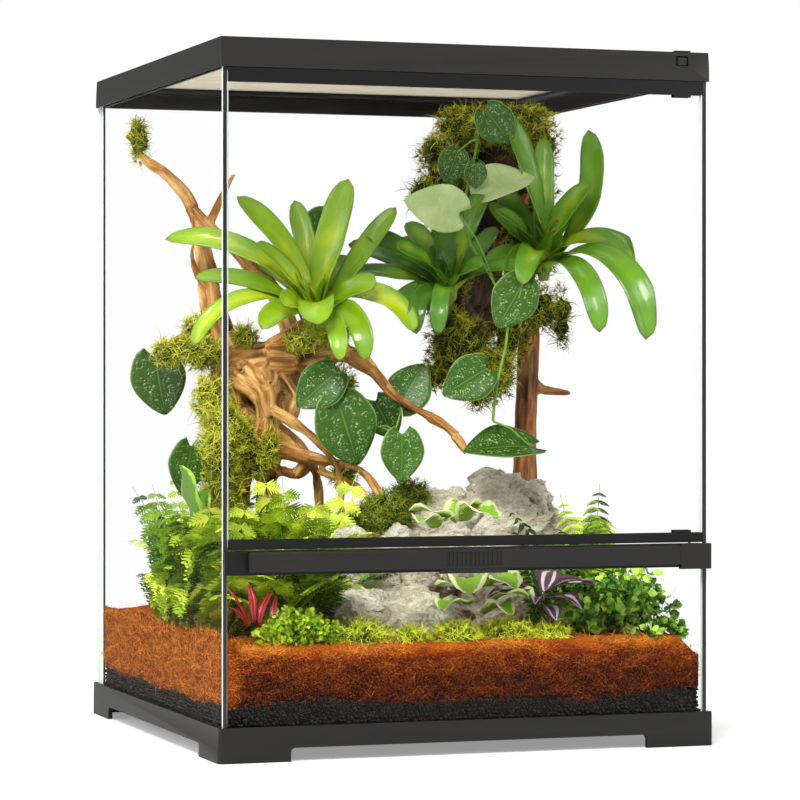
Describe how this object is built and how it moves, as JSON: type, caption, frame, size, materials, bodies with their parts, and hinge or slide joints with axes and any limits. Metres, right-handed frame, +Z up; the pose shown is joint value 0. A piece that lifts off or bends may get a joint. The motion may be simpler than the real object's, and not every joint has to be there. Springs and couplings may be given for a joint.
{
  "type": "reptile terrarium",
  "caption": "Front-opening glass reptile terrarium with plastic base and top frame, lift-off mesh cover, latched hinged door over a cross bar, and a natural planting.",
  "frame": {"origin": "on the floor under the middle of the glass box", "axes": "+X to the right of the door as seen from the front, +Y to the back, +Z up"},
  "size_m": [0.4552, 0.4606, 0.6153],
  "materials": {
    "frame_plastic": "fine satin moulding",
    "bar_plastic": "fine satin moulding",
    "glass": "clear float glass",
    "black_seal": "semi-matt silicone",
    "steel": "turned",
    "mesh": "woven wire",
    "clay_beads": "matt fired clay",
    "coir": "loose coconut fibre",
    "rock": "pitted natural stone",
    "driftwood": "weathered root wood",
    "dark_wood": "dark bark",
    "moss": "living moss",
    "lime_leaf": "waxy leaf",
    "vine_leaf": "leaf with silver flecks",
    "fern_leaf": "thin leaf",
    "striped_leaf": "leaf with pale stripes"
  },
  "bodies": {
    "terrarium": {"base_frame": "frame_plastic", "floor_glass": "glass", "left_glass": "glass", "right_glass": "glass", "back_glass": "glass", "front_lower_glass": "glass", "rear_left_seal": "black_seal", "rear_right_seal": "black_seal", "left_edge_trim": "black_seal", "right_edge_trim": "black_seal", "top_frame": "frame_plastic", "front_bar": "bar_plastic", "bar_hinge_block": "frame_plastic", "lever_pin_left": "steel", "lever_pin_right": "steel", "door_stop": "bar_plastic", "drainage_layer": "clay_beads", "coir_layer": "coir", "large_stone": "rock", "left_driftwood": "driftwood", "left_wood_moss": "moss", "right_log": "dark_wood", "right_log_moss": "moss", "left_bromeliad": "lime_leaf", "right_bromeliad": "lime_leaf", "centre_bromeliad": "lime_leaf", "left_vine": "vine_leaf", "right_vine": "vine_leaf", "left_ferns": "fern_leaf", "right_ferns": "fern_leaf", "ground_moss": "moss", "leafy_bush": "fern_leaf", "striped_plant": "striped_leaf"},
    "door": {"door_glass": "glass", "door_top_rail": "bar_plastic", "door_bottom_rail": "bar_plastic", "lower_hinge_clip": "bar_plastic", "upper_hinge_clip": "bar_plastic", "lower_hinge_pin": "steel", "upper_hinge_pin": "steel"},
    "latch": {"latch_lever": "frame_plastic"},
    "cover": {"cover_frame": "bar_plastic", "cover_mesh": "mesh"},
    "lock": {"cover_lock": "frame_plastic"},
    "left_slider": {"inlet_slider_left": "bar_plastic"},
    "right_slider": {"inlet_slider_right": "bar_plastic"}
  },
  "joints": [
    {"name": "door_hinge", "type": "hinge", "parent": "terrarium", "child": "door", "pos_m": [0.207, -0.221, 0.384], "axis": [0, 0, 1], "range_deg": [0, 135]},
    {"name": "latch_hinge", "type": "hinge", "parent": "terrarium", "child": "latch", "pos_m": [0, -0.2302, 0.1758], "axis": [-1, 0, 0], "range_deg": [0, 20], "stiffness_Nm_per_rad": 0.05},
    {"name": "cover_lift", "type": "slide", "parent": "terrarium", "child": "cover", "axis": [0, 0, 1], "range_m": [0, 0.15]},
    {"name": "lock_slide", "type": "slide", "parent": "terrarium", "child": "lock", "axis": [-1, 0, 0], "range_m": [0, 0.0028]},
    {"name": "left_inlet_slide", "type": "slide", "parent": "terrarium", "child": "left_slider", "axis": [1, 0, 0], "range_m": [0, 0.055]},
    {"name": "right_inlet_slide", "type": "slide", "parent": "terrarium", "child": "right_slider", "axis": [-1, 0, 0], "range_m": [0, 0.055]}
  ]
}
